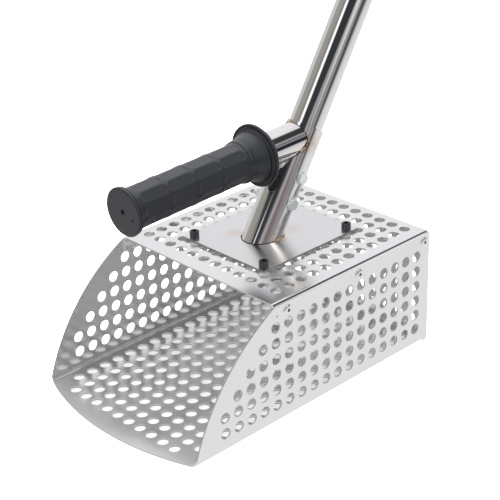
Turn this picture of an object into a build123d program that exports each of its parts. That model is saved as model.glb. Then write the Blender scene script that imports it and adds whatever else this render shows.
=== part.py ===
from build123d import *
import math
import os

# Beach sand scoop. Millimetres, +Z up. The mouth faces -Y and +X is the side that the bolt
# heads are on. The origin is on the underside of the floor, midway between the side walls,
# below the foot of the handle socket. The hole columns, and the handle that is bolted through
# them, stand a little to the left of the middle of the folded body.

# ---- driving dimensions of the perforated body ----
PITCH = 12.0                    # square hole grid, both ways
HOLE_RADIUS = 4.1
SHEET = 1.2                     # thickness of every folded sheet
HALF_WIDTH = 79.3               # outer faces of the side walls
HANDLE_X = -1.6                 # middle of the hole grid and of the handle
REAR_Y = 92.3                   # outer face of the rear wall
WALL_TOP_Z = 89.3               # top edge of the walls, and underside of the cover
FLOOR_FOLD = 4.0                # outer radius of the folds along the floor
FRONT_CORNER_Y = -140.3         # where the side walls start
LIP_SAGITTA = 15.5              # how far the digging lip bows forward of the corners
COVER_FRONT_Y = -66.1
WALL_ARC_RADIUS = 152.0         # curved front edge of the side walls
FIRST_HOLE_ROW_Z = 14.2         # lowest row of holes in the walls
FIRST_COLUMN_Y = -114.0         # first column of holes in the side walls
FLOOR_FIRST_HOLE_Y = -136.5
WALL_HOLE_ROWS = 6
WALL_HOLE_COLUMNS = 17
FLOOR_HOLE_ROWS = 19
HOLES_ACROSS = 12

# ---- cover ----
COVER_FOLD = 2.8                # outer radius of the folds round the cover
COVER_FLANGE_BOTTOM_Z = 78.7
COVER_REAR_FLANGE_BOTTOM_Z = 81.1
COVER_FLANGE_END_Y = 90.4
COVER_REAR_HALF_WIDTH = 77.4
COVER_FIRST_HOLE_Y = -50.5
COVER_TOP_Z = WALL_TOP_Z + SHEET
REAR_WALL_TOP_Z = COVER_TOP_Z - COVER_FOLD

# ---- blind rivets, 4 mm ----
RIVET_Y = (-54.3, 16.1, 86.4)
RIVET_Z = 83.1
RIVET_HOLE_RADIUS = 2.05
RIVET_SHANK_RADIUS = 2.0
RIVET_HEAD_RADIUS = 4.1
RIVET_HEAD_HEIGHT = 1.1
RIVET_BULB_RADIUS = 3.0         # where the shank is squashed out behind the sheets
RIVET_BORE_RADIUS = 1.15
RIVET_TAIL = -5.4               # end of the shank, from the wall's outer face
MANDREL_HEAD_RADIUS = 1.95
MANDREL_HEAD_LENGTH = 1.6
PILOT_HOLE_Y = -64.5
PILOT_HOLE_Z = 82.1
PILOT_HOLE_RADIUS = 0.8

# ---- mounting plate and its M4 screws ----
PLATE = 2.0
PLATE_EDGE_MARGIN = PITCH / 2   # screw centre to plate edge
SCREW_X = 3 * PITCH             # screws stand between the holes of the cover
SCREW_Y_FRONT = COVER_FIRST_HOLE_Y + 1.5 * PITCH
SCREW_Y_REAR = SCREW_Y_FRONT + 7 * PITCH
SCREW_RADIUS = 2.0
SCREW_CLEARANCE_RADIUS = 2.25
SCREW_HEAD_RADIUS = 3.5
SCREW_HEAD_HEIGHT = 4.0
SCREW_LENGTH = 8.0
SCREW_HEX_ACROSS = 3.0
SCREW_HEX_DEPTH = 2.2
SCREW_WASHER = 0.8
SCREW_WASHER_RADIUS = 4.5
SCREW_NUT = 3.2
SCREW_NUT_ACROSS = 7.0
PLATE_TOP_Z = COVER_TOP_Z + PLATE

# ---- socket, pole, cross tube and the M5 bolts across the socket ----
SOCKET_FOOT_Y = 1.6
POLE_LEAN = 32.6                # degrees back from vertical
SOCKET_RADIUS = 14.0
SOCKET_BORE_RADIUS = 12.55
SOCKET_LENGTH = 85.0
SOCKET_WELD = 1.2
TUBE_RADIUS = 12.5
TUBE_WALL = 1.5
POLE_START = 11.0               # above the plate, along the socket
POLE_LENGTH = 900.0
BOLT_STATIONS = (28.4, 48.2)    # along the socket, from the plate
BOLT_RADIUS = 2.5
BOLT_HOLE_RADIUS = 2.7
BOLT_ACROSS = 8.0
BOLT_HEAD = 3.5
BOLT_LENGTH = 36.0
BOLT_NUT = 4.0
CROSS_STATION = 77.5            # where the cross tube's axis meets the socket's axis
CROSS_DROP = 2.0                # degrees that the cross tube falls towards its grip
CROSS_END = 164.0
CROSS_WELD = 1.0

# ---- rubber grip, measured along the cross tube from the socket's axis ----
GRIP_START = 45.1
GRIP_END = 167.2
GRIP_FLANGE_RADIUS = 23.1
GRIP_NECK_RADIUS = 17.2
GRIP_BARREL_RADIUS = 14.7
GRIP_BEAD_RADIUS = 17.8
GRIP_BORE_RADIUS = TUBE_RADIUS + 0.02
GRIP_VENT_RADIUS = 2.0

EPS = 0.02                      # clearance between a thread and its nut

INNER_X = HALF_WIDTH - SHEET
FOLD_X = HALF_WIDTH - FLOOR_FOLD
FOLD_Y = REAR_Y - FLOOR_FOLD
COVER_FLAT_X = INNER_X - COVER_FOLD
COVER_FLAT_Y = REAR_Y + SHEET - COVER_FOLD


def circle_wire(plane, u, v, radius):
    centre = plane.from_local_coords(Vector(u, v, 0))
    return Wire.make_circle(radius, Plane(origin=centre, x_dir=plane.x_dir, z_dir=plane.z_dir))


def perforated(plane, outline, holes, thickness):
    """Sheet cut to an outline on a plane, with round holes given as (u, v, radius)."""
    outer = Wire([plane.from_local_coords(edge) for edge in outline])
    inner = [circle_wire(plane, u, v, radius) for u, v, radius in holes]
    return extrude(Face(outer, inner), amount=thickness, dir=plane.z_dir)


def polyline_edges(points):
    return [Edge.make_line(Vector(*a, 0), Vector(*b, 0)) for a, b in zip(points, points[1:])]


def arc_through(start, middle, end):
    return Edge.make_three_point_arc(Vector(*start, 0), Vector(*middle, 0), Vector(*end, 0))


def box(x0, x1, y0, y1, z0, z1):
    size = Box(x1 - x0, y1 - y0, z1 - z0)
    return Pos((x0 + x1) / 2, (y0 + y1) / 2, (z0 + z1) / 2) * size


def fold_strip(corner, length, outer_radius, start_angle, along):
    """Quarter ring of sheet metal, swept straight along X or Y from its corner point."""
    if along == "Y":
        plane = Plane(origin=corner, x_dir=(1, 0, 0), z_dir=(0, -1, 0))
    else:
        plane = Plane(origin=corner, x_dir=(0, 1, 0), z_dir=(1, 0, 0))
    ring = Circle(outer_radius) - Circle(outer_radius - SHEET)
    reach = 2 * outer_radius
    quarter = Rot(0, 0, start_angle) * Pos(reach / 2, reach / 2) * Rectangle(reach, reach)
    return extrude(plane * (ring & quarter), amount=length)


def grid_x(index):
    return HANDLE_X + (index - (HOLES_ACROSS - 1) / 2) * PITCH


def row_z(index):
    return FIRST_HOLE_ROW_Z + index * PITCH


# ---- digging lip: an arc in plan, shared by the floor and the folds beside it ----
LIP_RADIUS = (HALF_WIDTH ** 2 + LIP_SAGITTA ** 2) / (2 * LIP_SAGITTA)
LIP_PEAK_Y = FRONT_CORNER_Y - LIP_SAGITTA


def lip_y(x):
    return LIP_PEAK_Y + LIP_RADIUS - math.sqrt(LIP_RADIUS ** 2 - x ** 2)


# ---- curved front edge of the side walls, in the YZ plane ----
def wall_front_arc():
    start = Vector(FRONT_CORNER_Y, FLOOR_FOLD)
    end = Vector(COVER_FRONT_Y, WALL_TOP_Z)
    chord = end - start
    bulge = WALL_ARC_RADIUS - math.sqrt(WALL_ARC_RADIUS ** 2 - (chord.length / 2) ** 2)
    outward = Vector(-chord.Y, chord.X) * (1 / chord.length)
    middle = (start + end) * 0.5 + outward * bulge
    return arc_through((start.X, start.Y), (middle.X, middle.Y), (end.X, end.Y))


def floor_panel():
    corner_y = lip_y(FOLD_X)
    outline = [arc_through((-FOLD_X, corner_y), (0, LIP_PEAK_Y), (FOLD_X, corner_y))]
    outline += polyline_edges([(FOLD_X, corner_y), (FOLD_X, FOLD_Y), (-FOLD_X, FOLD_Y),
                               (-FOLD_X, corner_y)])
    holes = []
    for row in range(FLOOR_HOLE_ROWS):
        trim = 1 if row == 0 else 0         # the lip's arc leaves no room at the front corners
        for column in range(trim, HOLES_ACROSS - trim):
            holes.append((grid_x(column), FLOOR_FIRST_HOLE_Y + row * PITCH, HOLE_RADIUS))
    return perforated(Plane.XY, outline, holes, SHEET)


def right_side_panel():
    plane = Plane(origin=(INNER_X, 0, 0), x_dir=(0, 1, 0), z_dir=(1, 0, 0))
    outline = [wall_front_arc()]
    outline += polyline_edges([(COVER_FRONT_Y, WALL_TOP_Z), (REAR_Y, WALL_TOP_Z), (REAR_Y, FLOOR_FOLD)])
    bow = FLOOR_FOLD * math.sqrt(0.5)
    outline.append(arc_through((REAR_Y, FLOOR_FOLD), (FOLD_Y + bow, FLOOR_FOLD - bow), (FOLD_Y, 0)))
    outline += polyline_edges([(FOLD_Y, 0), (FOLD_Y, FLOOR_FOLD), (FRONT_CORNER_Y, FLOOR_FOLD)])
    holes = []
    for column in range(WALL_HOLE_COLUMNS):
        for row in range(min(WALL_HOLE_ROWS, column + 2)):
            holes.append((FIRST_COLUMN_Y + column * PITCH, row_z(row), HOLE_RADIUS))
    holes += [(y, RIVET_Z, RIVET_HOLE_RADIUS) for y in RIVET_Y]
    holes.append((PILOT_HOLE_Y, PILOT_HOLE_Z, PILOT_HOLE_RADIUS))
    wall = perforated(plane, outline, holes, SHEET)
    front_y = lip_y(FOLD_X)
    fold = fold_strip((FOLD_X, FOLD_Y, FLOOR_FOLD), FOLD_Y - front_y, FLOOR_FOLD, -90, "Y")
    beyond_lip = Pos(0, LIP_PEAK_Y + LIP_RADIUS, FLOOR_FOLD / 2) * Cylinder(LIP_RADIUS, 2 * FLOOR_FOLD)
    return wall + (fold & beyond_lip)


def rear_panel():
    plane = Plane(origin=(0, REAR_Y, 0), x_dir=(1, 0, 0), z_dir=(0, -1, 0))
    corners = [(-INNER_X, FLOOR_FOLD), (INNER_X, FLOOR_FOLD), (INNER_X, REAR_WALL_TOP_Z),
               (-INNER_X, REAR_WALL_TOP_Z)]
    outline = polyline_edges(corners + corners[:1])
    holes = []
    for column in range(HOLES_ACROSS):
        for row in range(WALL_HOLE_ROWS):
            holes.append((grid_x(column), row_z(row), HOLE_RADIUS))
    wall = perforated(plane, outline, holes, SHEET)
    fold = fold_strip((-FOLD_X, FOLD_Y, FLOOR_FOLD), 2 * FOLD_X, FLOOR_FOLD, -90, "X")
    return wall + fold


def top_panel():
    rear_x = COVER_REAR_HALF_WIDTH
    edge = [(-COVER_FLAT_X, COVER_FRONT_Y), (COVER_FLAT_X, COVER_FRONT_Y),
            (COVER_FLAT_X, COVER_FLANGE_END_Y), (rear_x, COVER_FLANGE_END_Y), (rear_x, COVER_FLAT_Y),
            (-rear_x, COVER_FLAT_Y), (-rear_x, COVER_FLANGE_END_Y), (-COVER_FLAT_X, COVER_FLANGE_END_Y),
            (-COVER_FLAT_X, COVER_FRONT_Y)]
    holes = []
    for column in range(HOLES_ACROSS):
        for row in range(HOLES_ACROSS):
            holes.append((grid_x(column), COVER_FIRST_HOLE_Y + row * PITCH, HOLE_RADIUS))
    holes += [(x, y, SCREW_CLEARANCE_RADIUS) for x, y in screw_centres()]
    return perforated(Plane(origin=(0, 0, WALL_TOP_Z)), polyline_edges(edge), holes, SHEET)


def cover_flanges():
    """The cover's folded rims: one inside each side wall, and one behind the rear wall."""
    fold_z = COVER_TOP_Z - COVER_FOLD
    length = COVER_FLANGE_END_Y - COVER_FRONT_Y
    side = fold_strip((COVER_FLAT_X, COVER_FLANGE_END_Y, fold_z), length, COVER_FOLD, 0, "Y")
    side += box(INNER_X - SHEET, INNER_X, COVER_FRONT_Y, COVER_FLANGE_END_Y, COVER_FLANGE_BOTTOM_Z, fold_z)
    for y in RIVET_Y:
        side -= Pos(INNER_X, y, RIVET_Z) * Rot(0, 90, 0) * Cylinder(RIVET_HOLE_RADIUS, 4 * SHEET)
    rear_x = COVER_REAR_HALF_WIDTH
    rear = fold_strip((-rear_x, COVER_FLAT_Y, fold_z), 2 * rear_x, COVER_FOLD, 0, "X")
    rear += box(-rear_x, rear_x, REAR_Y, REAR_Y + SHEET, COVER_REAR_FLANGE_BOTTOM_Z, fold_z)
    return Compound(children=[side, mirror(side, Plane.YZ), rear])


def screw_centres():
    return [(HANDLE_X + x, y) for x in (-SCREW_X, SCREW_X) for y in (SCREW_Y_FRONT, SCREW_Y_REAR)]


def turned(profile):
    """Solid of revolution about Z from a closed (radius, height) outline of points."""
    points = [(radius, 0, height) for radius, height in profile]
    face = Face(Wire(Polyline(*points, close=True).edges()))
    return revolve(face, Axis.Z, 360)


def on_side_wall(shape, y, side):
    """Put a shape turned about Z on a side wall, its +Z pointing out of the wall."""
    return Pos(side * HALF_WIDTH, y, RIVET_Z) * Rot(0, side * 90, 0) * shape


def rivet_body():
    eye = RIVET_BORE_RADIUS + 0.25
    rim = 0.15
    steps = 6
    crown = []
    for step in range(steps + 1):
        angle = math.radians(90 * step / steps)
        radius = eye + (RIVET_HEAD_RADIUS - eye) * math.sin(angle)
        crown.append((radius, rim + (RIVET_HEAD_HEIGHT - rim) * math.cos(angle)))
    back = -2 * SHEET
    shank = [(RIVET_HEAD_RADIUS, 0), (RIVET_SHANK_RADIUS, 0), (RIVET_SHANK_RADIUS, back),
             (RIVET_BULB_RADIUS, back), (RIVET_BULB_RADIUS, RIVET_TAIL + 0.7),
             (RIVET_BULB_RADIUS - 0.8, RIVET_TAIL), (RIVET_BORE_RADIUS, RIVET_TAIL),
             (RIVET_BORE_RADIUS, RIVET_HEAD_HEIGHT - 0.25)]
    return turned(crown + shank)


def rivet_mandrel():
    """The broken-off pin that stays in each rivet, with its head against the rivet's tail."""
    pin = RIVET_BORE_RADIUS - EPS
    head = RIVET_TAIL - EPS
    end = RIVET_TAIL - MANDREL_HEAD_LENGTH
    return turned([(0, 0.45), (pin, 0.45), (pin, head), (MANDREL_HEAD_RADIUS, head),
                   (MANDREL_HEAD_RADIUS, end + 0.7), (pin, end), (0, end)])


def rivets(shape):
    return Compound(children=[on_side_wall(shape, y, side) for side in (-1, 1) for y in RIVET_Y])


def mounting_plate():
    half_x = SCREW_X + PLATE_EDGE_MARGIN
    plate = box(HANDLE_X - half_x, HANDLE_X + half_x, SCREW_Y_FRONT - PLATE_EDGE_MARGIN,
                SCREW_Y_REAR + PLATE_EDGE_MARGIN, COVER_TOP_Z, PLATE_TOP_Z)
    plate = fillet(plate.edges().filter_by(Axis.Z), 0.8)
    for x, y in screw_centres():
        plate -= Pos(x, y, COVER_TOP_Z) * Cylinder(SCREW_CLEARANCE_RADIUS, 4 * PLATE)
    return plate


def hexagon(across, height, bottom):
    radius = across / math.sqrt(3)
    return Pos(0, 0, bottom) * extrude(RegularPolygon(radius, 6), amount=height)


def hex_blank(across, height, bottom, chamfer_bottom=False):
    """Hexagon whose corners are turned off by a cone at the top, and at the bottom if asked."""
    corner = across / math.sqrt(3)
    flat = across / 2
    drop = (corner - flat) * 0.6
    top = bottom + height
    low = [(flat, bottom), (corner, bottom + drop)] if chamfer_bottom else [(corner, bottom)]
    outline = [(0, bottom)] + low + [(corner, top - drop), (flat, top), (0, top)]
    return hexagon(across, height, bottom) & turned(outline)


def plate_screw():
    head = Pos(0, 0, SCREW_HEAD_HEIGHT / 2) * Cylinder(SCREW_HEAD_RADIUS, SCREW_HEAD_HEIGHT)
    head = chamfer(head.edges().sort_by(Axis.Z)[-1], 0.4)
    head -= hexagon(SCREW_HEX_ACROSS, SCREW_HEX_DEPTH + 1, SCREW_HEAD_HEIGHT - SCREW_HEX_DEPTH)
    return head + Pos(0, 0, -SCREW_LENGTH / 2) * Cylinder(SCREW_RADIUS, SCREW_LENGTH)


def plate_washer():
    ring = Cylinder(SCREW_WASHER_RADIUS, SCREW_WASHER) - Cylinder(SCREW_CLEARANCE_RADIUS, 3 * SCREW_WASHER)
    return Pos(0, 0, -SCREW_WASHER / 2) * ring


def plate_nut():
    blank = hex_blank(SCREW_NUT_ACROSS, SCREW_NUT, -SCREW_NUT, chamfer_bottom=True)
    return blank - Cylinder(SCREW_RADIUS + EPS, 4 * SCREW_NUT)


def at_screws(shape, z):
    return Compound(children=[Pos(x, y, z) * shape for x, y in screw_centres()])


# ---- frames of the leaning socket and of the cross tube ----
POLE_DIRECTION = Vector(0, math.sin(math.radians(POLE_LEAN)), math.cos(math.radians(POLE_LEAN)))
SOCKET_FOOT = Vector(HANDLE_X, SOCKET_FOOT_Y, PLATE_TOP_Z)
POLE_FRAME = Plane(origin=SOCKET_FOOT, x_dir=(1, 0, 0), z_dir=POLE_DIRECTION)
CROSS_ORIGIN = SOCKET_FOOT + POLE_DIRECTION * CROSS_STATION
CROSS_DIRECTION = Vector(0, -math.cos(math.radians(CROSS_DROP)), -math.sin(math.radians(CROSS_DROP)))
CROSS_FRAME = Plane(origin=CROSS_ORIGIN, x_dir=(1, 0, 0), z_dir=CROSS_DIRECTION)


def rod(frame, radius, start, end):
    return frame * Pos(0, 0, (start + end) / 2) * Cylinder(radius, end - start)


def below_plate_top():
    reach = 4 * SOCKET_RADIUS
    return box(-reach, reach, -reach, reach, PLATE_TOP_Z - reach, PLATE_TOP_Z)


def bolt_hole(station):
    return POLE_FRAME * Pos(0, 0, station) * Rot(0, 90, 0) * Cylinder(BOLT_HOLE_RADIUS, 4 * SOCKET_RADIUS)


def socket_tube():
    below = 2 * SOCKET_RADIUS
    tube = rod(POLE_FRAME, SOCKET_RADIUS, -below, SOCKET_LENGTH)
    tube -= rod(POLE_FRAME, SOCKET_BORE_RADIUS, -2 * below, SOCKET_LENGTH + below)
    tube -= below_plate_top()
    for station in BOLT_STATIONS:
        tube -= bolt_hole(station)
    return tube


def pole_tube():
    end = POLE_START + POLE_LENGTH
    tube = rod(POLE_FRAME, TUBE_RADIUS, POLE_START, end)
    tube -= rod(POLE_FRAME, TUBE_RADIUS - TUBE_WALL, POLE_START - TUBE_WALL, end + TUBE_WALL)
    for station in BOLT_STATIONS:
        tube -= bolt_hole(station)
    return tube


def whole_socket():
    """The socket's outside as a solid rod, long enough to cut whatever meets it."""
    return rod(POLE_FRAME, SOCKET_RADIUS, -2 * SOCKET_RADIUS, 2 * SOCKET_LENGTH)


def socket_weld():
    """Fillet bead round the oblique foot of the socket."""
    lean = math.radians(POLE_LEAN)
    stretch = 1 / math.cos(lean)
    shift = SOCKET_WELD * math.tan(lean)
    wide = SOCKET_RADIUS + SOCKET_WELD
    slim = SOCKET_RADIUS + 0.2
    foot = Pos(HANDLE_X, SOCKET_FOOT_Y, PLATE_TOP_Z) * Ellipse(wide, wide * stretch)
    top = Pos(HANDLE_X, SOCKET_FOOT_Y + shift, PLATE_TOP_Z + SOCKET_WELD) * Ellipse(slim, slim * stretch)
    return loft([foot, top], ruled=True) - whole_socket()


def cross_tube():
    tube = rod(CROSS_FRAME, TUBE_RADIUS, 0, CROSS_END)
    tube -= rod(CROSS_FRAME, TUBE_RADIUS - TUBE_WALL, -TUBE_WALL, CROSS_END + TUBE_WALL)
    return tube - whole_socket()


def cross_weld():
    """Saddle bead where the cross tube meets the socket."""
    saddle = rod(CROSS_FRAME, TUBE_RADIUS + CROSS_WELD, 0, 4 * SOCKET_RADIUS)
    saddle &= rod(POLE_FRAME, SOCKET_RADIUS + CROSS_WELD, 0, SOCKET_LENGTH)
    return saddle - whole_socket() - rod(CROSS_FRAME, TUBE_RADIUS, -TUBE_RADIUS, 5 * SOCKET_RADIUS)


def rubber_grip():
    """Flange and tapered neck, a barrel, and a beaded closed end with a vent hole."""
    seat = CROSS_END + 0.5
    outline = [(GRIP_BORE_RADIUS, GRIP_START), (GRIP_FLANGE_RADIUS - 1, GRIP_START),
               (GRIP_FLANGE_RADIUS, GRIP_START + 1.1), (GRIP_FLANGE_RADIUS, GRIP_START + 2.6),
               (GRIP_FLANGE_RADIUS - 1.3, GRIP_START + 3.6), (GRIP_NECK_RADIUS + 1.5, GRIP_START + 4.7),
               (GRIP_NECK_RADIUS, GRIP_START + 7.6), (GRIP_BARREL_RADIUS + 0.6, GRIP_START + 15.4),
               (GRIP_BARREL_RADIUS + 0.6, GRIP_START + 19.0), (GRIP_BARREL_RADIUS, GRIP_START + 20.0),
               (GRIP_BARREL_RADIUS, GRIP_END - 5.4), (GRIP_BEAD_RADIUS - 0.6, GRIP_END - 4.2),
               (GRIP_BEAD_RADIUS, GRIP_END - 3.4),
               (GRIP_BEAD_RADIUS, GRIP_END - 1.1), (GRIP_BEAD_RADIUS - 1.1, GRIP_END),
               (GRIP_VENT_RADIUS, GRIP_END), (GRIP_VENT_RADIUS, seat), (GRIP_BORE_RADIUS, seat)]
    return CROSS_FRAME * turned(outline)


def pole_end_plug():
    """Ribbed plug that closes the pole, with a shallow cap over the tube's end."""
    top = POLE_START + POLE_LENGTH
    stem = TUBE_RADIUS - TUBE_WALL - 0.05
    cap = TUBE_RADIUS - 0.2
    outline = [(0, top - 16), (stem - 1, top - 16), (stem, top - 14), (stem, top), (cap, top),
               (cap, top + 2), (cap - 1.2, top + 3.2), (0, top + 3.6)]
    return POLE_FRAME * turned(outline)


def at_bolts(shape, side):
    """Copies of a shape turned about Z, standing out of the socket on one side at each bolt."""
    place = Pos(side * SOCKET_RADIUS, 0, 0) * Rot(0, side * 90, 0)
    return [POLE_FRAME * Pos(0, 0, station) * place * shape for station in BOLT_STATIONS]


def socket_bolts():
    shank = Pos(0, 0, -BOLT_LENGTH / 2) * Cylinder(BOLT_RADIUS, BOLT_LENGTH)
    bolt = hex_blank(BOLT_ACROSS, BOLT_HEAD, 0) + shank
    return Compound(children=at_bolts(bolt, 1))


def bolt_nuts():
    nut = hex_blank(BOLT_ACROSS, BOLT_NUT, 0, chamfer_bottom=True)
    nut -= Cylinder(BOLT_RADIUS + EPS, 4 * BOLT_NUT)
    return Compound(children=at_bolts(nut, -1))


def rear_corner_welds():
    """Seam beads inside the two upright rear corners."""
    leg = 1.6
    corner = Polyline((0, 0), (leg, 0), (0, leg), close=True)
    bead = extrude(Face(Wire(corner.edges())), amount=COVER_FLANGE_BOTTOM_Z - 1 - 2 * FLOOR_FOLD)
    left = Pos(-INNER_X, REAR_Y - SHEET, 2 * FLOOR_FOLD) * Rot(0, 0, -90) * bead
    return Compound(children=[left, mirror(left, Plane.YZ)])


RIGHT = right_side_panel()

PARTS = {
    "floor_panel": floor_panel(),
    "right_side_panel": RIGHT,
    "left_side_panel": mirror(RIGHT, Plane.YZ),
    "rear_panel": rear_panel(),
    "rear_corner_welds": rear_corner_welds(),
    "top_panel": top_panel(),
    "cover_flanges": cover_flanges(),
    "rivet_bodies": rivets(rivet_body()),
    "rivet_mandrels": rivets(rivet_mandrel()),
    "mounting_plate": mounting_plate(),
    "plate_screws": at_screws(plate_screw(), PLATE_TOP_Z),
    "plate_washers": at_screws(plate_washer(), WALL_TOP_Z),
    "plate_nuts": at_screws(plate_nut(), WALL_TOP_Z - SCREW_WASHER),
    "socket_tube": socket_tube(),
    "socket_weld": socket_weld(),
    "pole_tube": pole_tube(),
    "pole_end_plug": pole_end_plug(),
    "socket_bolts": socket_bolts(),
    "bolt_nuts": bolt_nuts(),
    "cross_tube": cross_tube(),
    "cross_weld": cross_weld(),
    "rubber_grip": rubber_grip(),
}

os.makedirs("parts", exist_ok=True)
for name, shape in PARTS.items():
    export_step(shape, f"parts/{name}.step")
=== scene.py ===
import math

import bmesh
import bpy
from mathutils import Matrix, Vector


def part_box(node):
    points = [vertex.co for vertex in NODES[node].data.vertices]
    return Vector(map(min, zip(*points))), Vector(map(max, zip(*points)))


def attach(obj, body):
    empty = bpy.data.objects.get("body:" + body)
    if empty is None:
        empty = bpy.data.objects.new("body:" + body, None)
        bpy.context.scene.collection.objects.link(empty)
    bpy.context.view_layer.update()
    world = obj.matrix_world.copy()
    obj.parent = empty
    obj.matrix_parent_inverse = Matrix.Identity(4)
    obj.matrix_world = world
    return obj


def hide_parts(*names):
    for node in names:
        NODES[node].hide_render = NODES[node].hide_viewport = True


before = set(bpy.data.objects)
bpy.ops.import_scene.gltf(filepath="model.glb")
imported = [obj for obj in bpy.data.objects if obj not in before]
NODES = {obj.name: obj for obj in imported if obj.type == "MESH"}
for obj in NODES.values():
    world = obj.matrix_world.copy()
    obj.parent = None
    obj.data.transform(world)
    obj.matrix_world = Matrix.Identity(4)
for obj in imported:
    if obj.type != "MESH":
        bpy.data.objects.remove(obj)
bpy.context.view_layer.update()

MM = 0.001
X, Y, Z = range(3)              # places of a vector's parts

# ---- where things are, in metres ----
FLOOR_LOW, FLOOR_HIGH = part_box("floor_panel")
PLATE_LOW, PLATE_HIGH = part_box("mounting_plate")
SOCKET_LOW, SOCKET_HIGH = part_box("socket_tube")
CROSS_LOW, CROSS_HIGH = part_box("cross_tube")
GRIP_LOW, GRIP_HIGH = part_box("rubber_grip")
POLE_LEAN = math.radians(32.6)
CROSS_DROP = math.radians(2.0)
RIGHT = Vector((1, 0, 0))
POLE_ALONG = Vector((0, math.sin(POLE_LEAN), math.cos(POLE_LEAN)))
CROSS_ALONG = Vector((0, -math.cos(CROSS_DROP), -math.sin(CROSS_DROP)))
CROSS_UP = Vector((0, -math.sin(CROSS_DROP), math.cos(CROSS_DROP)))
SOCKET_RADIUS = (SOCKET_HIGH.x - SOCKET_LOW.x) / 2
TUBE_RADIUS = (CROSS_HIGH.x - CROSS_LOW.x) / 2
FOOT = Vector(((SOCKET_LOW.x + SOCKET_HIGH.x) / 2, SOCKET_LOW.y + SOCKET_RADIUS / POLE_ALONG.z, SOCKET_LOW.z))
CROSS_STATION = 77.5 * MM       # along the pole, from the plate to the cross tube's axis
SCREW_INSET = 6.0 * MM          # from the plate's edges to the screws' axes
LIP_CORNER_Y = -140.3 * MM      # where the bowed lip meets the side walls
JOINT = FOOT + POLE_ALONG * CROSS_STATION
FLANGE_RADIUS = (GRIP_HIGH.x - GRIP_LOW.x) / 2
FLANGE_BACK_RADIUS = 22.1 * MM  # of the grip's flange at its back face
GRIP_START = Vector((FOOT.x, GRIP_HIGH.y - FLANGE_BACK_RADIUS * math.sin(CROSS_DROP),
                     GRIP_HIGH.z - FLANGE_RADIUS * math.cos(CROSS_DROP)))

# ---- camera: places in metres, lens and sensor in millimetres ----
VIEW_AZIMUTH = math.radians(47.08)
VIEW_ELEVATION = math.radians(25.83)
VIEW_ROLL = math.radians(-2.01)
VIEW_DISTANCE = 0.9271
VIEW_TARGET = Vector((0.01945, -0.03109, 0.09917))
LENS = 95.76
SENSOR = 36.0


def direction(azimuth, elevation):
    """Unit vector from the object; azimuth 0 is the mouth's side and 90 the right side."""
    flat = math.cos(elevation)
    return Vector((math.sin(azimuth) * flat, -math.cos(azimuth) * flat, math.sin(elevation)))


def add_camera():
    """A long lens to the front right of the object, rolled a little."""
    back = direction(VIEW_AZIMUTH, VIEW_ELEVATION)
    right = Vector((math.cos(VIEW_AZIMUTH), math.sin(VIEW_AZIMUTH), 0.0))
    up = back.cross(right)
    rolled_right = right * math.cos(VIEW_ROLL) + up * math.sin(VIEW_ROLL)
    rolled_up = up * math.cos(VIEW_ROLL) - right * math.sin(VIEW_ROLL)
    data = bpy.data.cameras.new("camera")
    data.lens = LENS
    data.sensor_width = SENSOR
    camera = bpy.data.objects.new("camera", data)
    bpy.context.scene.collection.objects.link(camera)
    turn = Matrix((rolled_right, rolled_up, back)).transposed()
    camera.matrix_world = Matrix.Translation(VIEW_TARGET + back * VIEW_DISTANCE) @ turn.to_4x4()
    bpy.context.scene.camera = camera


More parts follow.
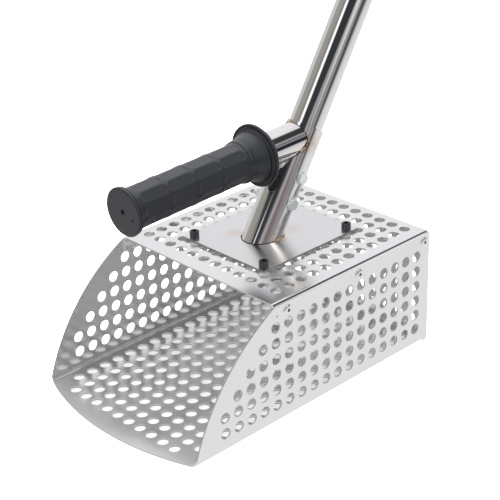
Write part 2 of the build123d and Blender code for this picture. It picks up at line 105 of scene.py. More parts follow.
class Graph:
    """A node tree with short calls for the nodes that the materials and the world share."""

    def __init__(self, tree):
        self.tree = tree

    def node(self, kind, **settings):
        """A new node with these settings."""
        made = self.tree.nodes.new(kind)
        for key, value in settings.items():
            setattr(made, key, value)
        return made

    def feed(self, socket, value):
        """Link an output to the socket, or set the socket to a plain value."""
        if isinstance(value, bpy.types.NodeSocket):
            self.tree.links.new(value, socket)
        else:
            socket.default_value = value

    def math(self, operation, a, b=0.0, c=0.0, clamp=False):
        """One sum on up to three values."""
        made = self.node("ShaderNodeMath", operation=operation, use_clamp=clamp)
        for socket, value in zip(made.inputs, (a, b, c)):
            self.feed(socket, value)
        return made.outputs[0]

    def smooth(self, value, low, high):
        """0 at low, 1 at high and a smooth step between; low may be the larger."""
        made = self.node("ShaderNodeMapRange", interpolation_type="SMOOTHSTEP")
        self.feed(made.inputs["Value"], value)
        made.inputs["From Min"].default_value = low
        made.inputs["From Max"].default_value = high
        return made.outputs["Result"]

    def span(self, value, low, high):
        """A 0 to 1 value stretched to run from low to high."""
        made = self.node("ShaderNodeMapRange")
        self.feed(made.inputs["Value"], value)
        made.inputs["To Min"].default_value = low
        made.inputs["To Max"].default_value = high
        return made.outputs["Result"]

    def mix(self, share, a, b, blend="MIX"):
        """Colour a where share is 0 and, blended, b where it is 1."""
        made = self.node("ShaderNodeMix", data_type="RGBA", blend_type=blend)
        self.feed(made.inputs[0], share)
        self.feed(made.inputs[6], a)
        self.feed(made.inputs[7], b)
        return made.outputs[2]

    def ramp(self, value, stops):
        """A colour from (position, colour) stops."""
        made = self.node("ShaderNodeValToRGB")
        self.feed(made.inputs[0], value)
        points = made.color_ramp.elements
        while len(points) < len(stops):
            points.new(0.5)
        for point, (place, colour) in zip(points, stops):
            point.position = place
            point.color = colour
        return made.outputs[0]

    def place(self):
        """The point in the object's own frame, in metres."""
        return self.node("ShaderNodeTexCoord").outputs["Object"]

    def normal(self):
        """The surface's normal in the object's own frame."""
        return self.node("ShaderNodeTexCoord").outputs["Normal"]

    def parts(self, vector):
        """A vector's X, Y and Z."""
        made = self.node("ShaderNodeSeparateXYZ")
        self.feed(made.inputs[0], vector)
        return made.outputs

    def stretched(self, vector, scale, rotation=(0, 0, 0)):
        """A vector scaled on each axis, and turned."""
        made = self.node("ShaderNodeMapping")
        self.feed(made.inputs["Vector"], vector)
        made.inputs["Rotation"].default_value = rotation
        made.inputs["Scale"].default_value = scale
        return made.outputs[0]

    def noise(self, vector, scale, detail=3.0, roughness=0.5):
        """Noise from 0 to 1; scale is its cells per metre."""
        made = self.node("ShaderNodeTexNoise")
        self.feed(made.inputs["Vector"], vector)
        made.inputs["Scale"].default_value = scale
        made.inputs["Detail"].default_value = detail
        made.inputs["Roughness"].default_value = roughness
        return made.outputs["Fac"]

    def distance(self, vector, point):
        """How far a vector is from a fixed point."""
        made = self.node("ShaderNodeVectorMath", operation="DISTANCE")
        self.feed(made.inputs[0], vector)
        made.inputs[1].default_value = point
        return made.outputs["Value"]

    def bump(self, height, depth, strength):
        """A normal for a height from 0 to 1; depth is in metres."""
        made = self.node("ShaderNodeBump")
        self.feed(made.inputs["Height"], height)
        made.inputs["Distance"].default_value = depth
        made.inputs["Strength"].default_value = strength
        return made.outputs[0]


class Finish(Graph):
    """A material on one Principled shader."""

    def __init__(self, name, metallic=0.0):
        self.material = bpy.data.materials.new(name)
        self.material.use_nodes = True
        super().__init__(self.material.node_tree)
        self.shader = self.tree.nodes["Principled BSDF"]
        self.shader.inputs["Metallic"].default_value = metallic

    def set(self, socket, value):
        """Give one of the shader's sockets a value or a link."""
        self.feed(self.shader.inputs[socket], value)


def grey(level):
    """A colour with no hue."""
    return (level, level, level, 1.0)


# ---- studio ----
BACKDROP = (0.62, 0.61, 0.62)
# Each card: azimuth, elevation, half width, half height and soft edge in degrees, and colour.
CARDS = [
    (208, 30, 42, 46, 8, (0.93, 0.92, 0.95)),
    (268, 8, 20, 40, 6, (0.68, 0.67, 0.68)),
    (322, 26, 30, 50, 6, (0.37, 0.355, 0.325)),
    (338, 34, 5, 30, 3, (0.24, 0.235, 0.235)),
    (35, 76, 80, 22, 5, (0.40, 0.39, 0.37)),
    (60, 0, 22, 20, 5, (0.21, 0.17, 0.17)),
    (40, 38, 28, 14, 4, (0.04, 0.042, 0.047)),
    (0.5, 28, 8, 26, 2, (1.35, 1.38, 1.42)),
    (82, 26, 8, 14, 4, (0.80, 0.82, 0.84)),
    (86, 0, 8, 12, 4, (0.27, 0.27, 0.265)),
    (111, 0, 15, 8, 4, (0.10, 0.094, 0.10)),
    (132, 4, 9, 9, 2, (0.025, 0.024, 0.026)),
    (134, 21, 12, 7, 3, (0.19, 0.205, 0.22)),
    (150, 42, 20, 11, 4, (0.045, 0.046, 0.048)),
    (115, 41, 8, 7, 2, (2.6, 2.5, 2.35)),
]
GROUND = (0.82, 0.82, 0.82)
SOFT_LOW = 0.05                 # the light on matt surfaces from below
SOFT_HIGH = 3.2                 # and from above
SOFT_FRONT = 0.8                # and added from in front of the lip
SOFT_RISE = (0.0, 80.0)         # elevations between which it grows
FRONT_RISE = (0.2, -0.9)        # the direction's Y between which the front light grows
GROUND_RISE = (-24.0, -6.0)     # the ground card fades out between these elevations


def add_world():
    """The studio: cards for what is glossy, a soft sky for what is matt, and white behind."""
    world = bpy.data.worlds.new("studio")
    bpy.context.scene.world = world
    world.use_nodes = True
    graph = Graph(world.node_tree)
    background = world.node_tree.nodes["Background"]
    x, y, z = graph.parts(graph.node("ShaderNodeTexCoord").outputs["Generated"])
    azimuth = graph.math("DEGREES", graph.math("ARCTAN2", x, graph.math("MULTIPLY", y, -1.0)))
    elevation = graph.math("DEGREES", graph.math("ARCSINE", z))
    colour = (*BACKDROP, 1.0)
    ground = graph.smooth(elevation, GROUND_RISE[1], GROUND_RISE[0])
    colour = graph.mix(ground, colour, (*GROUND, 1.0))
    for card_azimuth, card_elevation, wide, high, soft, tint in CARDS:
        turned = graph.math("WRAP", graph.math("SUBTRACT", azimuth, card_azimuth), -180.0, 180.0)
        aside = graph.smooth(graph.math("ABSOLUTE", turned), wide + soft, wide - soft)
        above = graph.math("ABSOLUTE", graph.math("SUBTRACT", elevation, card_elevation))
        share = graph.math("MULTIPLY", aside, graph.smooth(above, high + soft, high - soft))
        colour = graph.mix(share, colour, (*tint, 1.0))
    path = graph.node("ShaderNodeLightPath").outputs
    overhead = graph.mix(graph.smooth(elevation, *SOFT_RISE), grey(SOFT_LOW), grey(SOFT_HIGH))
    overhead = graph.mix(graph.smooth(y, *FRONT_RISE), overhead, grey(SOFT_FRONT), blend="ADD")
    colour = graph.mix(path["Is Diffuse Ray"], colour, overhead)
    graph.feed(background.inputs["Color"], graph.mix(path["Is Camera Ray"], colour, grey(1.0)))


def stage_sheet(name, outline, z, glow, white):
    """A flat stage piece that only the camera sees: it glows, and shows the light that falls on it."""
    mesh = bpy.data.meshes.new(name)
    mesh.from_pydata([(x, y, z) for x, y in outline], [], [tuple(range(len(outline)))])
    sheet = bpy.data.objects.new(name, mesh)
    bpy.context.scene.collection.objects.link(sheet)
    finish = Finish(name)
    finish.set("Base Color", grey(white))
    finish.set("Emission Color", grey(1.0))
    finish.set("Emission Strength", glow)
    finish.set("Roughness", 1.0)
    finish.set("Specular IOR Level", 0.0)
    mesh.materials.append(finish.material)
    sheet.visible_glossy = False
    sheet.visible_diffuse = False
    sheet.visible_shadow = False


GROUND_HALF = 20.0
GROUND_GAP = 0.3 * MM           # the ground is this far below the floor
GROUND_GLOW = 1.0
GROUND_WHITE = 0.9
SHADE_GAP = 0.2 * MM            # and the shade is this far below it
SHADE_INSET = 1.5 * MM          # from the floor's outline
SHADE_STEPS = 48                # along the lip
# The shade sheet glows and reflects less than the ground: a painted shade under the floor, seen through its
# holes, on top of the real shade that falls on it.
SHADE_GLOW = 0.40
SHADE_WHITE = 0.42


def add_ground():
    """White ground, with a dimmer sheet under the floor's outline: a painted shade, which also takes the
    scoop's own shade.
    """
    corner = GROUND_HALF
    stage_sheet("ground", [(-corner, -corner), (corner, -corner), (corner, corner), (-corner, corner)],
                FLOOR_LOW.z - GROUND_GAP, GROUND_GLOW, GROUND_WHITE)
    half = FLOOR_HIGH.x - SHADE_INSET
    sagitta = LIP_CORNER_Y - FLOOR_LOW.y
    radius = (half * half + sagitta * sagitta) / (2 * sagitta)
    swing = math.asin(half / radius)
    outline = [(half, FLOOR_HIGH.y - SHADE_INSET), (-half, FLOOR_HIGH.y - SHADE_INSET)]
    for step in range(SHADE_STEPS + 1):
        angle = swing * (2 * step / SHADE_STEPS - 1)
        y = FLOOR_LOW.y + radius * (1 - math.cos(angle)) + SHADE_INSET
        outline.append((radius * math.sin(angle), y))
    stage_sheet("shade", outline, FLOOR_LOW.z - SHADE_GAP, SHADE_GLOW, SHADE_WHITE)


# ---- metals ----
GRAIN_STRETCH = 0.03            # width of the rolled grain over its length
FACE_RISE = (0.25, 0.6)         # the normal's share across the sheet, from cut edge to face
EDGE_ROUGHER = 0.12             # cut edges are this much rougher than faces
BEND_RISE = (0.04, 0.2)         # the normal's X times Z, from flat to fold
BEND_LEVEL = 0.86
BEND_ROUGHNESS = 0.07
LIP_PAINTED_HIGHLIGHT_RISE = (LIP_CORNER_Y + 12 * MM, LIP_CORNER_Y - 8 * MM)      # Y between which the lip's painted highlight grows
LIP_PAINTED_HIGHLIGHT = 0.08
HOLE_PAINTED_SHADE_TOP = 0.5 * MM       # the foot of the floor's hole walls gets a painted shade up to here
HOLE_PAINTED_SHADE = 0.07


def sheet_steel(name, level, roughness, face_axis, grain_axis, edge=0.9, bend=False, patches=(), lip=False):
    """Satin rolled sheet. Cut edges, whose normals lie in the sheet, are rougher and edge times as bright.

    With bend, faces that turn between sideways and up, which is where the sheet was folded, are burnished.
    With lip, the front is painted brighter, a painted highlight, and the foot of each hole's wall is painted
    dark, a painted contact shade.
    """
    finish = Finish(name, metallic=1.0)
    place = finish.place()
    _, along, height = finish.parts(place)
    normal = finish.parts(finish.normal())
    grain_scale = [1.0, 1.0, 1.0]
    grain_scale[grain_axis] = GRAIN_STRETCH
    grain = finish.noise(finish.stretched(place, grain_scale), 2600.0, 2.0)
    cloud = finish.noise(place, 22.0, 4.0, 0.6)
    speck = finish.noise(place, 900.0, 2.0, 0.6)

    tone = finish.math("ADD", finish.span(cloud, -0.03, 0.03), finish.span(grain, -0.02, 0.02))
    edge_colour = finish.mix(speck, grey(level * edge * 0.9), grey(level * edge * 1.1))
    if lip:
        # painted highlight: the front of the floor is made brighter
        tone = finish.math("MULTIPLY_ADD", finish.smooth(along, *LIP_PAINTED_HIGHLIGHT_RISE), LIP_PAINTED_HIGHLIGHT, tone)
        # painted contact shade at the foot of each hole's wall
        low = finish.smooth(height, HOLE_PAINTED_SHADE_TOP, 0.5 * HOLE_PAINTED_SHADE_TOP)
        edge_colour = finish.mix(low, edge_colour, grey(HOLE_PAINTED_SHADE))
    bright = finish.math("ADD", tone, level)
    colour = finish.node("ShaderNodeCombineColor")
    for channel in colour.inputs:
        finish.feed(channel, bright)
    face = finish.smooth(finish.math("ABSOLUTE", normal[face_axis]), *FACE_RISE)
    base = finish.mix(face, edge_colour, heated(finish, colour.outputs[0], patches))

    satin = finish.math("ADD", finish.span(cloud, roughness - 0.04, roughness + 0.04),
                        finish.span(grain, -0.03, 0.03))
    satin = finish.math("MULTIPLY_ADD", finish.math("SUBTRACT", 1.0, face), EDGE_ROUGHER, satin)
    if bend:
        slant = finish.math("ABSOLUTE", finish.math("MULTIPLY", normal[X], normal[Z]))
        turned = finish.smooth(slant, *BEND_RISE)
        base = finish.mix(turned, base, grey(BEND_LEVEL))
        satin = finish.math("ADD", finish.math("MULTIPLY", satin, finish.math("SUBTRACT", 1.0, turned)),
                            finish.math("MULTIPLY", turned, BEND_ROUGHNESS))
    finish.set("Base Color", base)
    finish.set("Roughness", satin)
    finish.set("Normal", finish.bump(grain, 0.003 * MM, 0.5))
    return finish.material


RING_BROWN = (0.13, 0.075, 0.055, 1)
RING_WIDTH = 0.55 * MM
HEAT_RAGGED = 0.4               # how uneven a patch's outline is, over its reach
HEAT_TINT = [                   # what heat multiplies the metal's colour by
    (0.0, (1.0, 1.0, 1.0, 1)),
    (0.35, (0.93, 0.82, 0.73, 1)),
    (0.62, (0.74, 0.50, 0.29, 1)),
    (0.85, (0.36, 0.23, 0.17, 1)),
    (1.0, (0.12, 0.10, 0.08, 1)),
]


def heated(finish, tone, patches, rings=()):
    """A colour with heat marks on it.

    A patch is (point, reach, strength), with the strength at its middle: straw at 0.35, bronze at 0.6 and
    nearly black at 1. A ring is (point, radius) and is dark all along.
    """
    place = finish.place()
    ragged = finish.noise(place, 300.0, 3.0, 0.6)
    for point, reach, strength in patches:
        uneven = finish.span(ragged, -HEAT_RAGGED * reach, HEAT_RAGGED * reach)
        away = finish.math("ADD", finish.distance(place, point), uneven)
        heat = finish.math("SUBTRACT", 1.0, finish.math("DIVIDE", away, reach), clamp=True)
        heat = finish.math("MULTIPLY", heat, strength)
        tone = finish.mix(1.0, tone, finish.ramp(heat, HEAT_TINT), blend="MULTIPLY")
    for point, radius in rings:
        away = finish.math("ABSOLUTE", finish.math("SUBTRACT", finish.distance(place, point), radius))
        tone = finish.mix(finish.smooth(away, RING_WIDTH, 0.3 * RING_WIDTH), tone, RING_BROWN)
    return tone


TUBE_TONES = ((0.79, 0.78, 0.78, 1), (0.89, 0.88, 0.88, 1))


def polished_tube(name, turn, patches=(), rings=()):
    """Bright tube with faint lines, and heat colours beside its welds.

    turn is about X, and it turns the point before the noise is stretched along Z. Lines along a tube need
    the turn that brings its axis to Z.
    """
    finish = Finish(name, metallic=1.0)
    local = finish.stretched(finish.place(), (1, 1, 1), (turn, 0, 0))
    lines = finish.noise(finish.stretched(local, (1.0, 1.0, 0.004)), 700.0, 3.0, 0.6)
    smear = finish.noise(finish.stretched(local, (1.0, 1.0, 0.15)), 90.0, 4.0, 0.6)
    finish.set("Base Color", heated(finish, finish.mix(smear, *TUBE_TONES), patches, rings))
    finish.set("Roughness", finish.math("ADD", finish.span(lines, 0.03, 0.10),
                                        finish.span(smear, -0.02, 0.03)))
    finish.set("Normal", finish.bump(lines, 0.003 * MM, 0.45))
    return finish.material


BURNT_TONES = ((0.03, 0.027, 0.025, 1), (0.12, 0.10, 0.085, 1))
BRONZE = [(0.30, (0.10, 0.06, 0.04, 1)), (0.42, (0.42, 0.25, 0.12, 1)), (0.55, (0.80, 0.64, 0.42, 1)),
          (0.70, (0.86, 0.82, 0.76, 1))]


def weld_metal(name, hot):
    """Burnt bead: nearly black, and bronze or straw within reach of the hot places, each (point, reach)."""
    finish = Finish(name, metallic=1.0)
    place = finish.place()
    patch = finish.noise(place, 420.0, 3.0, 0.6)
    colour = finish.mix(patch, *BURNT_TONES)
    bronze = finish.ramp(patch, BRONZE)
    for point, reach in hot:
        colour = finish.mix(finish.smooth(finish.distance(place, point), reach, 0.6 * reach), colour, bronze)
    finish.set("Base Color", colour)
    finish.set("Roughness", finish.span(patch, 0.5, 0.2))
    finish.set("Normal", finish.bump(finish.noise(place, 1500.0, 3.0), 0.03 * MM, 0.8))
    return finish.material


def plated(name, low, high, rough_low, rough_high, metallic=1.0, depth=0.01):
    """A blotchy coat between two colours, for fasteners and the cover's rim. depth is its grain's, in mm."""
    finish = Finish(name, metallic=metallic)
    place = finish.place()
    blotch = finish.noise(place, 420.0, 4.0, 0.65)
    finish.set("Base Color", finish.mix(finish.smooth(blotch, 0.35, 0.65), low, high))
    finish.set("Roughness", finish.span(blotch, rough_high, rough_low))
    finish.set("Normal", finish.bump(finish.noise(place, 3500.0, 2.0), depth * MM, 0.5))
    return finish.material


KNURL_TEETH = 28
KNURL_DEPTH = 0.25 * MM
KNURL_HEIGHT = 0.25             # of a tooth, over that depth
KNURL_RISE = (3.2 * MM, 3.4 * MM)       # it starts between these radii, just inside the head's 3.5 mm
SCREW_TONES = ((0.012, 0.012, 0.014, 1), (0.10, 0.10, 0.115, 1))       # inside the knurl and on it


def knurled(name):
    """Black socket screws: their heads have a straight knurl, laid round the nearest screw's axis."""
    finish = Finish(name, metallic=0.75)
    x, y, _ = finish.parts(finish.place())
    middle = (PLATE_LOW + PLATE_HIGH) / 2
    reach_x = (PLATE_HIGH.x - PLATE_LOW.x) / 2 - SCREW_INSET
    reach_y = (PLATE_HIGH.y - PLATE_LOW.y) / 2 - SCREW_INSET
    from_middle = finish.math("ABSOLUTE", finish.math("SUBTRACT", x, middle.x))
    across = finish.math("SUBTRACT", from_middle, reach_x)
    from_middle = finish.math("ABSOLUTE", finish.math("SUBTRACT", y, middle.y))
    along = finish.math("SUBTRACT", from_middle, reach_y)
    turn = finish.math("MULTIPLY", finish.math("ARCTAN2", along, across), KNURL_TEETH)
    away = finish.math("SQRT", finish.math("ADD", finish.math("MULTIPLY", across, across),
                                           finish.math("MULTIPLY", along, along)))
    rim = finish.smooth(away, *KNURL_RISE)
    tooth = finish.math("MULTIPLY", finish.span(finish.math("SINE", turn), 0.0, KNURL_HEIGHT), rim)
    finish.set("Base Color", finish.mix(rim, *SCREW_TONES))
    finish.set("Roughness", 0.2)
    finish.set("Normal", finish.bump(tooth, KNURL_DEPTH, 0.8))
    return finish.material


# A lighter colour on what faces up: painted light from above.
PAINTED_TOP_LIGHT = (0.085, 0.088, 0.098, 1)
PAINTED_TOP_LIGHT_RISE = (0.55, 0.95)            # the normal's Z between which the painted top light grows


def moulded(name, low, high, roughness, coat=0.0, painted_top_light=0.0):
    """Rubber or plastic with a fine spark-eroded grain, faint bloom, and a painted light: a lighter colour on
    what faces up.
    """
    finish = Finish(name)
    place = finish.place()
    bloom = finish.noise(place, 60.0, 4.0, 0.6)
    grain = finish.noise(place, 2600.0, 2.0, 0.6)
    upward = finish.smooth(finish.parts(finish.normal())[Z], *PAINTED_TOP_LIGHT_RISE)
    colour = finish.mix(bloom, low, high)
    # painted light: faces that point up are mixed towards a lighter colour
    finish.set("Base Color", finish.mix(finish.math("MULTIPLY", upward, painted_top_light), colour, PAINTED_TOP_LIGHT))
    finish.set("Roughness", finish.math("ADD", finish.span(bloom, roughness - 0.06, roughness + 0.06),
                                        finish.span(grain, -0.05, 0.05)))
    finish.set("Specular IOR Level", 0.3)
    finish.set("Coat Weight", coat)
    finish.set("Coat Roughness", 0.24)
    finish.set("Normal", finish.bump(grain, 0.02 * MM, 0.6))
    return finish.material


def dress(material, *names):
    """Give CAD nodes a material."""
    for name in names:
        for slot in NODES[name].material_slots:
            slot.material = material


# ---- made pieces ----
def ring_mesh(name, rings):
    """A closed mesh from rings of points that all have the same count; the last ring joins the first."""
    count = len(rings[0])
    points = [point for ring in rings for point in ring]
    faces = []
    for index in range(len(rings)):
        here = index * count
        there = (index + 1) % len(rings) * count
        for step in range(count):
            after = (step + 1) % count
            faces.append((here + step, here + after, there + after, there + step))
    mesh = bpy.data.meshes.new(name)
    mesh.from_pydata(points, [], faces)
    return mesh


def tidy_mesh(mesh, sharp_degrees):
    """Outward normals, and smooth shading but for edges sharper than an angle."""
    sculpt = bmesh.new()
    sculpt.from_mesh(mesh)
    bmesh.ops.recalc_face_normals(sculpt, faces=sculpt.faces)
    sculpt.to_mesh(mesh)
    sculpt.free()
    mesh.shade_smooth()
    mesh.set_sharp_from_angle(angle=math.radians(sharp_degrees))


def add_piece(mesh, material, slot, *stands_for):
    """A made piece on the one body, in place of the CAD nodes that it stands for."""
    piece = bpy.data.objects.new(mesh.name, mesh)
    bpy.context.scene.collection.objects.link(piece)
    mesh.materials.append(material)
    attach(piece, "root")
    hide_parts(*stands_for)


def smooth_step(value, low, high):
    """0 at low, 1 at high and a smooth step between; low may be the larger."""
    share = min(max((value - low) / (high - low), 0.0), 1.0)
    return share * share * (3 - 2 * share)


# ---- rubber grip: stations and radii in millimetres, stations from GRIP_START, the flange's back face ----
GRIP_LENGTH = 121.3
GRIP_END_RADIUS = 16.2
GRIP_BORE = TUBE_RADIUS / MM + 0.02
GRIP_VENT = 2.0
GRIP_SEAT = GRIP_LENGTH - 2.7   # inside face of the closed end
GRIP_SEGMENTS = 280             # round every ring
GRIP_STEPS = 220                # along the barrel
GRIP_END_STEPS = 36             # across the end face
GRIP_BEVEL = 0.3                # at the vent's edge
GRIP_CHAMFER = 0.6              # at the bore's mouth
GRIP_BARREL_START = 20.0
GRIP_BARREL_END = GRIP_LENGTH - 4.9
GRIP_EASE = 0.5                 # the pockets fade in over this length
GRIP_RIB_RADIUS = 14.65
FACETS = 10                     # rows of pockets round the barrel
FACET_ANGLE = 360.0 / FACETS
FACET_FIRST = 44.4              # middle of the row that faces up and to the right, from +X
POCKETS = 4                     # along each row
POCKET_PITCH = 23.3
POCKET_FIRST = GRIP_LENGTH - 19.5
POCKET_HALF_LENGTH = 10.8
POCKET_HALF_WIDTH = 4.05
POCKET_CORNER = 3.8
POCKET_FLOOR = 14.1             # from the axis to the flat floor of a pocket
POCKET_WALL = 0.42
DIMPLE = (9.85, -2.6)           # on the end face, right of and below the vent
DIMPLE_RADIUS = 2.0
DIMPLE_DEPTH = 0.8
DIMPLE_FLAT = 0.3               # radius of its flat bottom

# Flange, its dish, the ridge, the neck and the collar before the barrel, outside surface only.
GRIP_FRONT = [
    (0.0, GRIP_BORE + GRIP_CHAMFER), (0.0, 15.0), (0.0, 19.0), (0.0, 21.9), (0.15, 22.5), (0.6, 22.9),
    (1.2, 23.1), (2.0, 23.08), (2.6, 22.95), (2.9, 22.6), (2.9, 22.3), (2.5, 21.9), (2.1, 21.3), (1.9, 20.4),
    (2.0, 19.4), (2.7, 18.7), (3.6, 18.4), (4.6, 18.6), (4.95, 18.9), (5.25, 18.85), (5.5, 18.4), (5.9, 18.0),
    (6.6, 17.7), (8.0, 17.25), (10.0, 16.7), (12.5, 16.05), (14.6, 15.5), (14.9, 15.35), (15.2, 15.45),
    (15.6, 15.75), (16.2, 15.85), (18.0, 15.65), (18.6, 15.5), (18.9, 15.2), (19.1, 14.9), (19.5, 14.72),
]
# Groove, bead and rim of the closed end, stations from the end face.
GRIP_BACK = [
    (-4.6, 14.9), (-4.3, 15.4), (-4.2, 16.0), (-4.1, 16.5), (-3.8, 16.8), (-3.2, 16.95), (-2.75, 16.85),
    (-2.6, 16.5), (-2.45, 16.5), (-2.3, 16.85), (-1.9, 17.2), (-1.3, 17.3), (-0.7, 17.15), (-0.25, 16.8),
    (0.0, GRIP_END_RADIUS),
]


def pocket_depth(station, degrees):
    """0 on the ribs and 1 on the floor of a pocket, and the angle from the pocket's middle."""
    aside = (degrees - FACET_FIRST + FACET_ANGLE / 2) % FACET_ANGLE - FACET_ANGLE / 2
    number = round((POCKET_FIRST - station) / POCKET_PITCH)
    number = min(max(number, 0), POCKETS - 1)
    along = abs(station - (POCKET_FIRST - number * POCKET_PITCH)) - (POCKET_HALF_LENGTH - POCKET_CORNER)
    across = abs(math.radians(aside)) * GRIP_RIB_RADIUS - (POCKET_HALF_WIDTH - POCKET_CORNER)
    outside = math.hypot(max(along, 0.0), max(across, 0.0)) + min(max(along, across), 0.0) - POCKET_CORNER
    return smooth_step(-outside, 0.0, POCKET_WALL), math.radians(aside)


def barrel_radius(station, degrees):
    """The ribs' radius, or a pocket's flat floor."""
    depth, aside = pocket_depth(station, degrees)
    flat = POCKET_FLOOR / math.cos(aside)
    ease = smooth_step(station, GRIP_BARREL_START, GRIP_BARREL_START + GRIP_EASE)
    return GRIP_RIB_RADIUS + (flat - GRIP_RIB_RADIUS) * depth * ease


def grip_point(station, radius, degrees):
    """A point in metres, from millimetres along the grip, a radius and an angle from +X."""
    angle = math.radians(degrees)
    spoke = RIGHT * math.cos(angle) + CROSS_UP * math.sin(angle)
    return GRIP_START + CROSS_ALONG * (station * MM) + spoke * (radius * MM)


def grip_ring(radius_at, station_at):
    """One ring, whose radius and station may change with the angle."""
    turns = [360.0 * step / GRIP_SEGMENTS for step in range(GRIP_SEGMENTS)]
    return [grip_point(station_at(turn), radius_at(turn), turn) for turn in turns]


def plain_ring(station, radius):
    """One true circle."""
    return grip_ring(lambda turn: radius, lambda turn: station)


def end_face_ring(radius):
    """One ring of the end face, pushed in where it crosses the dimple."""
    def station_at(turn):
        angle = math.radians(turn)
        away = math.hypot(radius * math.cos(angle) - DIMPLE[0], radius * math.sin(angle) - DIMPLE[1])
        return GRIP_LENGTH - DIMPLE_DEPTH * smooth_step(away, DIMPLE_RADIUS, DIMPLE_FLAT)
    return grip_ring(lambda turn: radius, station_at)


def grip_mesh():
    """The bore from the closed end out, the flange, the barrel with its pockets, and the end face."""
    rings = [plain_ring(GRIP_SEAT, GRIP_VENT), plain_ring(GRIP_SEAT, GRIP_BORE),
             plain_ring(GRIP_CHAMFER, GRIP_BORE)]
    rings += [plain_ring(station, radius) for station, radius in GRIP_FRONT]
    for step in range(GRIP_STEPS + 1):
        station = GRIP_BARREL_START + (GRIP_BARREL_END - GRIP_BARREL_START) * step / GRIP_STEPS
        rings.append(grip_ring(lambda turn, at=station: barrel_radius(at, turn), lambda turn, at=station: at))
    rings += [plain_ring(GRIP_LENGTH + offset, radius) for offset, radius in GRIP_BACK]
    vent_edge = GRIP_VENT + GRIP_BEVEL
    for step in range(1, GRIP_END_STEPS):
        rings.append(end_face_ring(GRIP_END_RADIUS + (vent_edge - GRIP_END_RADIUS) * step / GRIP_END_STEPS))
    rings += [plain_ring(GRIP_LENGTH, vent_edge), plain_ring(GRIP_LENGTH - GRIP_BEVEL, GRIP_VENT)]
    mesh = ring_mesh("grip", rings)
    tidy_mesh(mesh, sharp_degrees=50)
    return mesh


MARK_STATION = 24.0             # raised ring in the pocket next to the flange
MARK_TURN = 38.0                # degrees from +X
MARK_RADIUS = 2.4
MARK_BEAD = 0.3                 # half the width of its bead
MARK_HEIGHT = 0.18              # above the pocket's floor
MARK_STEPS = 48
MARK_SIDES = 8


def grip_mark_mesh():
    """A small ring, half sunk in the floor of a pocket."""
    out = RIGHT * math.cos(math.radians(FACET_FIRST)) + CROSS_UP * math.sin(math.radians(FACET_FIRST))
    side = out.cross(CROSS_ALONG)
    aside = math.radians(MARK_TURN - FACET_FIRST) * GRIP_RIB_RADIUS
    middle = GRIP_START + (CROSS_ALONG * MARK_STATION + out * POCKET_FLOOR - side * aside) * MM
    rings = []
    for step in range(MARK_STEPS):
        angle = math.tau * step / MARK_STEPS
        spoke = CROSS_ALONG * math.cos(angle) + side * math.sin(angle)
        ring = []
        for part in range(MARK_SIDES):
            turn = math.tau * part / MARK_SIDES
            away = MARK_RADIUS + MARK_BEAD * math.cos(turn)
            ring.append(middle + (spoke * away + out * (MARK_HEIGHT * math.sin(turn))) * MM)
        rings.append(ring)
    mesh = ring_mesh("grip_mark", rings)
    tidy_mesh(mesh, sharp_degrees=60)
    return mesh


# ---- weld beads ----
BEAD_SIDES = 10                 # points round the bead
RIPPLE_DEPTH = 0.22             # of the bead's radius, between ripples
RIPPLE_SHARPNESS = 6
FOOT_STEPS = 360                # rings along the bead
FOOT_RIPPLES = 46
JOINT_STEPS = 300
JOINT_RIPPLES = 38


def bead_mesh(name, line, thickness, ripples):
    """A closed bead along a closed line of points, swelling at each of its ripples.

    thickness(turn) gives the bead's radius in millimetres, and turn runs once from 0 to 1.
    """
    count = len(line)
    rings = []
    for index, point in enumerate(line):
        turn = index / count
        ahead = (line[(index + 1) % count] - line[index - 1]).normalized()
        inner = ahead.cross(POLE_ALONG).normalized()
        outer = ahead.cross(inner)
        wave = 1 - RIPPLE_DEPTH * abs(math.cos(math.pi * ripples * turn)) ** RIPPLE_SHARPNESS
        radius = thickness(turn) * wave * MM
        ring = []
        for part in range(BEAD_SIDES):
            angle = math.tau * part / BEAD_SIDES
            ring.append(point + (inner * math.cos(angle) + outer * math.sin(angle)) * radius)
        rings.append(ring)
    mesh = ring_mesh(name, rings)
    tidy_mesh(mesh, sharp_degrees=75)
    return mesh


def foot_line(steps):
    """Where the socket's outside meets the plate: an ellipse, from +X round by +Y."""
    points = []
    for step in range(steps):
        angle = math.tau * step / steps
        across = SOCKET_RADIUS * math.cos(angle)
        along = SOCKET_RADIUS * math.sin(angle) / POLE_ALONG.z
        points.append(FOOT + Vector((across, along, 0.0)))
    return points


def joint_line(steps):
    """Where the cross tube's outside meets the socket's, from +X round by the top."""
    points = []
    along = CROSS_ALONG - POLE_ALONG * CROSS_ALONG.dot(POLE_ALONG)
    for step in range(steps):
        angle = math.tau * step / steps
        spoke = (RIGHT * math.cos(angle) + CROSS_UP * math.sin(angle)) * TUBE_RADIUS
        aside = spoke - POLE_ALONG * spoke.dot(POLE_ALONG)
        a = along.dot(along)
        b = along.dot(aside)
        c = aside.dot(aside) - SOCKET_RADIUS ** 2
        reach = (-b + math.sqrt(b * b - a * c)) / a
        points.append(JOINT + CROSS_ALONG * reach + spoke)
    return points


def near_turn(turn, middle, width):
    """1 at a place on a closed line and 0 a width away from it, both as shares of the line."""
    away = abs((turn - middle + 0.5) % 1.0 - 0.5)
    return smooth_step(away, width, 0.0)


def foot_thickness(turn):
    """Radius in millimetres: thicker on the right and at the front left."""
    return 0.45 + 0.75 * near_turn(turn, 0.06, 0.13) + 0.55 * near_turn(turn, 0.60, 0.06)


def joint_thickness(turn):
    """Radius in millimetres: thicker on the right and at the top left."""
    return 0.32 + 0.55 * near_turn(turn, 0.95, 0.10) + 0.4 * near_turn(turn, 0.36, 0.06)


def spots(origin, *rows):
    """Places round an origin: their offset and reach in millimetres become metres, and the rest stays."""
    return [(origin + Vector(offset) * MM, reach * MM, *rest) for offset, reach, *rest in rows]


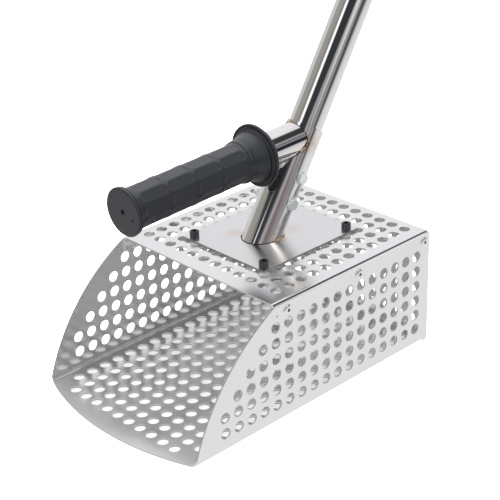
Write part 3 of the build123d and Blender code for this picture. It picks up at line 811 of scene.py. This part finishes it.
# ---- where heat has coloured the metal: offset and reach in millimetres, and strength ----
PLATE_HEAT = spots(FOOT, ((-17.4, -14.6, 0), 9, 0.20), ((-17.4, -8.6, 0), 8, 0.30),
                   ((7.6, 21.4, 0), 12, 0.23), ((14.6, 1.4, 0), 5, 0.5))
FOOT_HEAT = spots(FOOT, ((13.9, -0.6, 0.5), 4, 0.8), ((12.6, 10.4, 0.5), 5, 0.7))
JOINT_HEAT = spots(JOINT, ((13.9, -3.36, -2.29), 9, 0.46), ((12.2, -11.26, -4.89), 4, 0.7),
                   ((-2.6, -8.56, 12.21), 2.5, 0.9))
JOINT_RING = spots(JOINT, ((12.8, -7.86, -1.79), 1.5))
# Where the beads are bronze rather than black. The corner welds lie wholly within their reach.
FOOT_HOT = spots(FOOT, ((14.1, 2.4, 0), 6), ((10.6, 11.9, 0), 5), ((-11.9, -9.1, 0), 4))
JOINT_HOT = spots(JOINT, ((-2.6, -8.56, 12.21), 3), ((12.2, -11.26, -4.89), 3))
CORNER_HOT = spots(FLOOR_HIGH, ((0, 0, 0), 400))

add_camera()
add_world()
add_ground()
bpy.context.scene.view_settings.view_transform = "Standard"

# ---- tray ----
dress(sheet_steel("floor_satin", 0.80, 0.20, face_axis=Z, grain_axis=Y, bend=True, lip=True), "floor_panel")
dress(sheet_steel("cover_satin", 0.84, 0.20, face_axis=Z, grain_axis=Y), "top_panel")
dress(sheet_steel("wall_satin", 0.90, 0.25, face_axis=X, grain_axis=Y, edge=1.05, bend=True),
      "right_side_panel")
# The far wall is the near wall's steel at a darker level, 0.74 against 0.90: painted shade on the far wall's
# inside.
dress(sheet_steel("far_wall_shaded_satin", 0.74, 0.18, face_axis=X, grain_axis=Y, edge=1.0, bend=True),
      "left_side_panel")
dress(sheet_steel("rear_satin", 0.86, 0.25, face_axis=Y, grain_axis=X), "rear_panel")
dress(plated("rim_satin", grey(0.80), grey(0.88), 0.05, 0.09, depth=0.004), "cover_flanges")
dress(weld_metal("weld_metal", CORNER_HOT), "rear_corner_welds")

# ---- plate, tubes and their welds ----
dress(sheet_steel("plate_satin", 0.75, 0.23, face_axis=Z, grain_axis=X, edge=0.74, patches=PLATE_HEAT),
      "mounting_plate")
# These turns leave the lines slanted: 65 degrees to the pole and the socket, and 4 to the cross tube.
dress(polished_tube("socket_polish", -POLE_LEAN, JOINT_HEAT + FOOT_HEAT, JOINT_RING), "socket_tube")
dress(polished_tube("pole_polish", -POLE_LEAN), "pole_tube")
dress(polished_tube("cross_polish", math.pi / 2 + CROSS_DROP, JOINT_HEAT, JOINT_RING), "cross_tube")
add_piece(bead_mesh("foot_bead", foot_line(FOOT_STEPS), foot_thickness, FOOT_RIPPLES),
          weld_metal("weld_burnt", FOOT_HOT), "weld_metal", "socket_weld")
add_piece(bead_mesh("joint_bead", joint_line(JOINT_STEPS), joint_thickness, JOINT_RIPPLES),
          weld_metal("joint_burnt", JOINT_HOT), "weld_metal", "cross_weld")

# ---- fasteners ----
ZINC_TONES = ((0.84, 0.89, 0.90, 1), (0.95, 0.99, 0.99, 1))
dress(plated("rivet_bright", grey(0.86), grey(0.94), 0.20, 0.32), "rivet_bodies")
dress(plated("rivet_dark", grey(0.12), grey(0.28), 0.4, 0.6), "rivet_mandrels")
dress(knurled("black_oxide"), "plate_screws")
dress(plated("bright_zinc", *ZINC_TONES, 0.12, 0.28, metallic=0.6),
      "plate_washers", "plate_nuts", "socket_bolts", "bolt_nuts")

# ---- plug and grip ----
RUBBER_TONES = ((0.017, 0.018, 0.023, 1), (0.025, 0.027, 0.034, 1))
dress(moulded("plug_plastic", grey(0.02), grey(0.03), 0.5), "pole_end_plug")
RUBBER = moulded("grip_rubber", *RUBBER_TONES, 0.36, coat=0.22, painted_top_light=0.3)
add_piece(grip_mesh(), RUBBER, "grip_rubber", "rubber_grip")
add_piece(grip_mark_mesh(), RUBBER, "grip_rubber", "rubber_grip")
